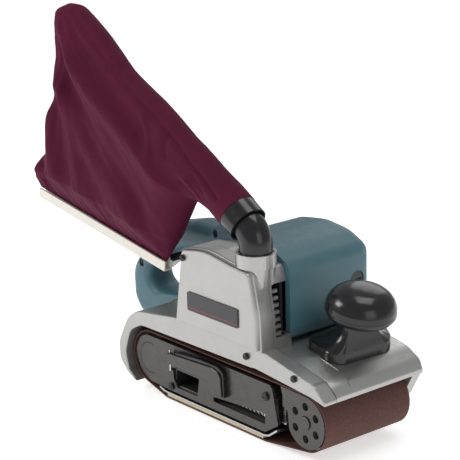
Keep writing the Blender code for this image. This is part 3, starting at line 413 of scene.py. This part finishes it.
# The bag's outline in X and Z, as four sides between the tip, the strip and the sleeve.
BAG_TOP = [(-0.240, 0.3535), (-0.226, 0.3590), (-0.212, 0.3585), (-0.193, 0.3480), (-0.174, 0.3365),
           (-0.156, 0.3230), (-0.137, 0.3080), (-0.120, 0.2990), (-0.093, 0.2865), (-0.067, 0.2720),
           (-0.048, 0.2600), (-0.036, 0.2545), (-0.026, 0.2490), (-0.009, 0.2391)]
BAG_REAR = [(-0.240, 0.3535), (-0.2450, 0.3390), (-0.2465, 0.3230), (-0.2480, 0.3040), (-0.2510, 0.2860),
            (-0.2520, 0.2660), (-0.2600, 0.2500), (-0.2640, 0.2270), (-0.2695, 0.2090), (-0.2885, 0.1930),
            (-0.2990, 0.1770), (-0.2930, 0.1650)]
BAG_BOTTOM = [(-0.2930, 0.1650), (-0.0890, 0.1320), (-0.0800, 0.1440), (-0.0640, 0.1690), (-0.0470, 0.1960),
              (-0.0400, 0.2035), (-0.0210, 0.2030)]

# The sewn seam along the bag's upper edge, seen on the near panel.
SEAM = [(-0.211, 0.354), (-0.187, 0.339), (-0.154, 0.313), (-0.118, 0.290), (-0.091, 0.277), (-0.064, 0.262),
        (-0.044, 0.248), (-0.023, 0.235), (0.008, 0.216)]

# Folds: a line in X and Z, its height, and its reach on the upper and the lower side.
NEAR_FOLDS = [
    ([(-0.213, 0.333), (-0.184, 0.296), (-0.156, 0.281), (-0.122, 0.260), (-0.096, 0.241), (-0.066, 0.220),
      (-0.045, 0.209)], 0.0065, 0.0050, 0.0150),
    ([(-0.233, 0.334), (-0.207, 0.274), (-0.174, 0.238), (-0.124, 0.197), (-0.094, 0.163)],
     -0.0075, 0.0140, 0.0110),
    ([(-0.250, 0.301), (-0.222, 0.276), (-0.184, 0.251), (-0.135, 0.203), (-0.113, 0.178), (-0.094, 0.153)],
     0.0050, 0.0080, 0.0140),
    ([(-0.243, 0.324), (-0.238, 0.270), (-0.230, 0.223), (-0.217, 0.172)], -0.0050, 0.0130, 0.0130),
    ([(-0.252, 0.262), (-0.246, 0.225), (-0.236, 0.185)], 0.0035, 0.0100, 0.0100),
    ([(-0.200, 0.220), (-0.172, 0.190), (-0.150, 0.158)], -0.0035, 0.0110, 0.0140),
    ([(-0.267, 0.200), (-0.266, 0.184), (-0.276, 0.169)], -0.0045, 0.0060, 0.0070),
    ([(-0.292, 0.184), (-0.280, 0.190), (-0.272, 0.203)], 0.0030, 0.0050, 0.0060),
    ([(-0.189, 0.324), (-0.150, 0.291), (-0.114, 0.268), (-0.080, 0.247)], -0.0035, 0.0120, 0.0090),
    ([(-0.096, 0.277), (-0.088, 0.262), (-0.085, 0.248), (-0.079, 0.236)], 0.0022, 0.0030, 0.0055),
    ([(-0.062, 0.262), (-0.064, 0.250), (-0.060, 0.238)], -0.0022, 0.0040, 0.0050),
    ([(-0.036, 0.228), (-0.024, 0.220), (-0.014, 0.209), (-0.010, 0.200)], 0.0014, 0.0020, 0.0035),
    ([(-0.030, 0.233), (-0.016, 0.224), (-0.004, 0.212)], -0.0012, 0.0022, 0.0030),
    ([(-0.046, 0.224), (-0.032, 0.216), (-0.024, 0.206)], -0.0014, 0.0025, 0.0035),
]
FAR_FOLDS = [
    ([(-0.225, 0.340), (-0.200, 0.280), (-0.160, 0.235), (-0.110, 0.180)], 0.0060, 0.0120, 0.0150),
    ([(-0.240, 0.300), (-0.225, 0.240), (-0.200, 0.175)], -0.0055, 0.0140, 0.0120),
    ([(-0.200, 0.320), (-0.150, 0.275), (-0.090, 0.235), (-0.045, 0.212)], -0.0050, 0.0110, 0.0130),
    ([(-0.180, 0.270), (-0.140, 0.225), (-0.120, 0.160)], 0.0035, 0.0090, 0.0120),
    ([(-0.262, 0.240), (-0.256, 0.205), (-0.262, 0.175)], 0.0035, 0.0080, 0.0090),
    ([(-0.070, 0.262), (-0.066, 0.240), (-0.058, 0.225)], -0.0020, 0.0040, 0.0060),
]


def resampled(points, shares):
    """Points along the line through the given ones, at shares of its length."""
    spots = np.array(points, float)
    steps = np.r_[0, np.cumsum(np.hypot(*np.diff(spots, axis=0).T))]
    return np.stack([np.interp(shares * steps[-1], steps, spots[:, k]) for k in (0, 1)], 1)


def softened(curve, rounds):
    """A curve with its corners eased and its ends kept."""
    curve = curve.copy()
    for _ in range(rounds):
        curve[1:-1] = 0.25 * curve[:-2] + 0.5 * curve[1:-1] + 0.25 * curve[2:]
    return curve


def to_lines(spots, line):
    """Signed distance from many points to a line of points, and how far along the nearest place is."""
    best = np.full(len(spots), 1e9)
    sign = np.ones(len(spots))
    along = np.zeros(len(spots))
    line = np.array(line, float)
    steps = np.r_[0, np.cumsum(np.hypot(*np.diff(line, axis=0).T))]
    for k in range(len(line) - 1):
        start, span = line[k], line[k + 1] - line[k]
        share = np.clip((spots - start) @ span / (span @ span), 0, 1)
        away = spots - start - share[:, None] * span
        gap = np.hypot(away[:, 0], away[:, 1])
        near = gap < best
        best[near] = gap[near]
        sign[near] = np.sign(span[0] * away[near, 1] - span[1] * away[near, 0])
        along[near] = (steps[k] + share[near] * np.hypot(*span)) / steps[-1]
    return best * sign, along


def folded(spots, folds):
    """Height of the folds above the smooth bag at each point."""
    height = np.zeros(len(spots))
    for line, tall, above, below in folds:
        smooth = softened(resampled(line, np.linspace(0, 1, 24)), 3)
        gap, along = to_lines(spots, smooth)
        reach = np.where(gap > 0, above, below)
        taper = np.clip(np.minimum(along, 1 - along) * 6 + 0.25, 0, 1)
        height += FOLD_GAIN * tall * taper * np.exp(-(gap / reach) ** 2)
    return height


def creases(spots, seed):
    """Small soft wrinkles that fan out from the tip of the bag."""
    out = np.zeros(len(spots))
    tip = np.array((-0.236, 0.372))
    for i, spot in enumerate(spots - tip):
        angle = np.arctan2(spot[1], spot[0])
        far = np.hypot(*spot)
        fan = noise.noise(Vector((angle * 7, far * 9, seed)))
        fine = noise.noise(Vector((angle * 19, far * 16, seed + 5)))
        small = noise.noise(Vector((spot[0] * 120, spot[1] * 120, seed + 9)))
        out[i] = 0.0022 * fan + 0.0011 * fine + 0.0003 * small
    return out


def bag_outline(across, count):
    """The four sides of the bag as curves of points."""
    mouth_top = SLEEVE_MOUTH + SLEEVE_NORMAL * SLEEVE_R
    mouth_low = SLEEVE_MOUTH - SLEEVE_NORMAL * SLEEVE_R
    shares = np.linspace(0, 1, count)
    top = softened(resampled(BAG_TOP + [tuple(mouth_top)], shares), 6)
    low_end = SLEEVE_MOUTH - SLEEVE_NORMAL * SLEEVE_R + SLEEVE_AXIS * 0.022
    bottom = resampled(BAG_BOTTOM[:-1] + [tuple(low_end), tuple(mouth_low)], shares)
    bottom = softened(bottom, 3)
    rear = softened(resampled(BAG_REAR, np.linspace(0, 1, across)), 2)
    front = np.linspace(mouth_top, mouth_low, across)
    return top, bottom, rear, front


def bag_grid(count, across):
    """The flat shape of the bag: a grid of points in X and Z between its four sides."""
    top, bottom, rear, front = bag_outline(across, count)
    u = np.linspace(0, 1, count)[:, None, None]
    v = np.linspace(0, 1, across)[None, :, None]
    between = (1 - v) * top[:, None] + v * bottom[:, None] + (1 - u) * rear[None] + u * front[None]
    corners = (1 - u) * ((1 - v) * top[0] + v * bottom[0]) + u * ((1 - v) * top[-1] + v * bottom[-1])
    return between - corners


def dust_bag():
    """A slack cloth sack sewn from two panels, gathered into a sleeve at the pipe."""
    count, across = BAG_GRID
    grid = bag_grid(count, across)
    flat = grid.reshape(-1, 2)
    edge = np.full(len(flat), 1.0)
    for side in (grid[:, 0], grid[:, -1], grid[0]):
        edge = np.minimum(edge, np.abs(to_lines(flat, side[::3])[0]))
    v = np.tile(np.linspace(0, 1, across), count)
    to_mouth = (flat - np.array(SLEEVE_MOUTH)) @ np.array(SLEEVE_AXIS)
    sleeve = np.clip((0.046 - to_mouth) / 0.032, 0, 1)
    sleeve = sleeve * sleeve * (3 - 2 * sleeve) * (flat[:, 0] > -0.06)
    roll = 1 - np.clip(edge / EDGE_ROLL, 0, 1)
    pillow = BAG_FULL * np.sqrt(np.clip(1 - roll ** 2, 0, 1))
    tube = SLEEVE_R * np.sqrt(np.clip(1 - (2 * v - 1) ** 2, 0, 1))
    strip = to_lines(flat, [tuple(end) for end in STRIP_ENDS])[0]
    pinch = np.clip((np.abs(strip) - 0.004) / 0.030, 0.06, 1) ** 0.8
    half = pillow * pinch * (1 - sleeve) + tube * sleeve
    free = np.clip(edge / 0.010, 0, 1) * (1 - 0.75 * sleeve) * np.clip(np.abs(strip) / 0.012, 0.1, 1)
    sewn = np.zeros((count, across), bool)
    sewn[0] = True
    sewn[:, (0, -1)] = True
    sewn = sewn.reshape(-1)
    along_strip = flat[:, 0] * 6.2832 / 0.013
    pucker = 0.0011 * np.sin(along_strip + 1.5 * np.sin(along_strip * 0.37)) * np.exp(-np.abs(strip) / 0.016)
    vertices = []
    for side, folds, seed in ((-1, NEAR_FOLDS, 2.0), (1, FAR_FOLDS, 31.0)):
        relief = (folded(flat, folds) + creases(flat, seed)) * free + pucker * np.clip(edge / 0.006, 0, 1)
        depth = np.maximum(half + relief, LEAST_DEPTH * half)
        seam_gap = np.abs(to_lines(flat, softened(resampled(SEAM, np.linspace(0, 1, 40)), 3))[0])
        if side < 0:
            stitch = 0.0008 * np.exp(-(seam_gap / 0.0055) ** 2) - 0.0028 * np.exp(-(seam_gap / 0.0021) ** 2)
            depth = np.maximum(depth + stitch, 0.3 * half)
        depth[sewn] = 0
        vertices.append(np.stack([flat[:, 0], BAG_Y + side * depth, flat[:, 1]], 1))
    return count, across, vertices


def sewn_bag():
    """Build the sack's mesh and put it on the bag arm."""
    count, across, (near, far) = dust_bag()
    data = bmesh.new()
    rows = []
    for panel in (near, far):
        rows.append([data.verts.new(point) for point in panel])
    for panel, way in ((rows[0], 1), (rows[1], -1)):
        for i in range(count - 1):
            for j in range(across - 1):
                corners = [panel[i * across + j], panel[(i + 1) * across + j],
                           panel[(i + 1) * across + j + 1], panel[i * across + j + 1]]
                data.faces.new(corners if way > 0 else corners[::-1])
    bmesh.ops.remove_doubles(data, verts=data.verts, dist=0.00001)
    bmesh.ops.recalc_face_normals(data, faces=data.faces)
    mesh = bpy.data.meshes.new("sewn_bag")
    data.to_mesh(mesh)
    data.free()
    mesh.shade_smooth()
    item = bpy.data.objects.new("sewn_bag", mesh)
    collection.objects.link(item)
    dress(item, "bag_cloth")
    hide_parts("dust_bag")
    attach(item, "bag_arm")
    return item


# ---- fine copies of the CAD solids ----
def refined(node, width=0.0004, segments=2, smooth=32, angle=35):
    """A copy of a solid with clean faces, softened edges and smooth shading."""
    item = NODES[node].copy()
    item.data = NODES[node].data.copy()
    item.name = node + "_fine"
    for key in list(item.keys()):
        del item[key]
    item.parent = None
    collection.objects.link(item)
    data = bmesh.new()
    data.from_mesh(item.data)
    bmesh.ops.remove_doubles(data, verts=data.verts, dist=0.000004)
    bmesh.ops.dissolve_limit(data, angle_limit=radians(0.6), verts=data.verts, edges=data.edges)
    data.to_mesh(item.data)
    data.free()
    item.data.shade_smooth()
    item.data.set_sharp_from_angle(angle=radians(smooth))
    if width:
        step = item.modifiers.new("Bevel", "BEVEL")
        step.width = width
        step.segments = segments
        step.limit_method = "ANGLE"
        step.angle_limit = radians(angle)
        step.harden_normals = True
    flat_faces = item.modifiers.new("Weighted", "WEIGHTED_NORMAL")
    flat_faces.keep_sharp = True
    graph = bpy.context.evaluated_depsgraph_get()
    mesh = bpy.data.meshes.new_from_object(item.evaluated_get(graph))
    item.modifiers.clear()
    item.data = mesh
    dress(item, SLOT_OF[node])
    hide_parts(node)
    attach(item, BODY_OF[node])
    return item


# Rooms inside the castings whose walls get painted shade, as lower and upper corners.
PAINTED_SHADE_ROOMS = {
    "main_frame": [((-0.0737, -0.0436, 0.0158), (-0.0373, -0.0098, 0.0327)),
                   ((-0.0342, -0.0395, 0.0133), (0.0900, 0.0480, 0.0602)),
                   ((-0.0240, -0.0436, 0.0155), (0.0780, -0.0348, 0.0300)),
                   ((-0.0500, -0.0372, 0.0900), (0.0538, -0.0195, 0.1500))],
}


def paint_shade_inside(item, rooms):
    """Give the walls of the listed rooms the painted shade."""
    item.data.materials.append(MATERIALS[PAINTED_SHADE_SLOT])
    for face in item.data.polygons:
        spot = item.matrix_world @ face.center
        for low, high in rooms:
            if all(a <= c <= b for a, c, b in zip(low, spot, high)):
                face.material_index = 1


for node, item in NODES.items():
    dress(item, SLOT_OF[node])

sewn_bag()
for node in NODES:
    if node == "dust_bag":
        continue
    fine = refined(node, 0.0003 if node in ("main_frame", "left_cover") else 0.0)
    # painted shade on the walls of the frame's inner rooms
    if node in PAINTED_SHADE_ROOMS:
        paint_shade_inside(fine, PAINTED_SHADE_ROOMS[node])
    if node == "side_plate":
        dress(fine, ENGRAVED_SLOT)

camera()
studio()
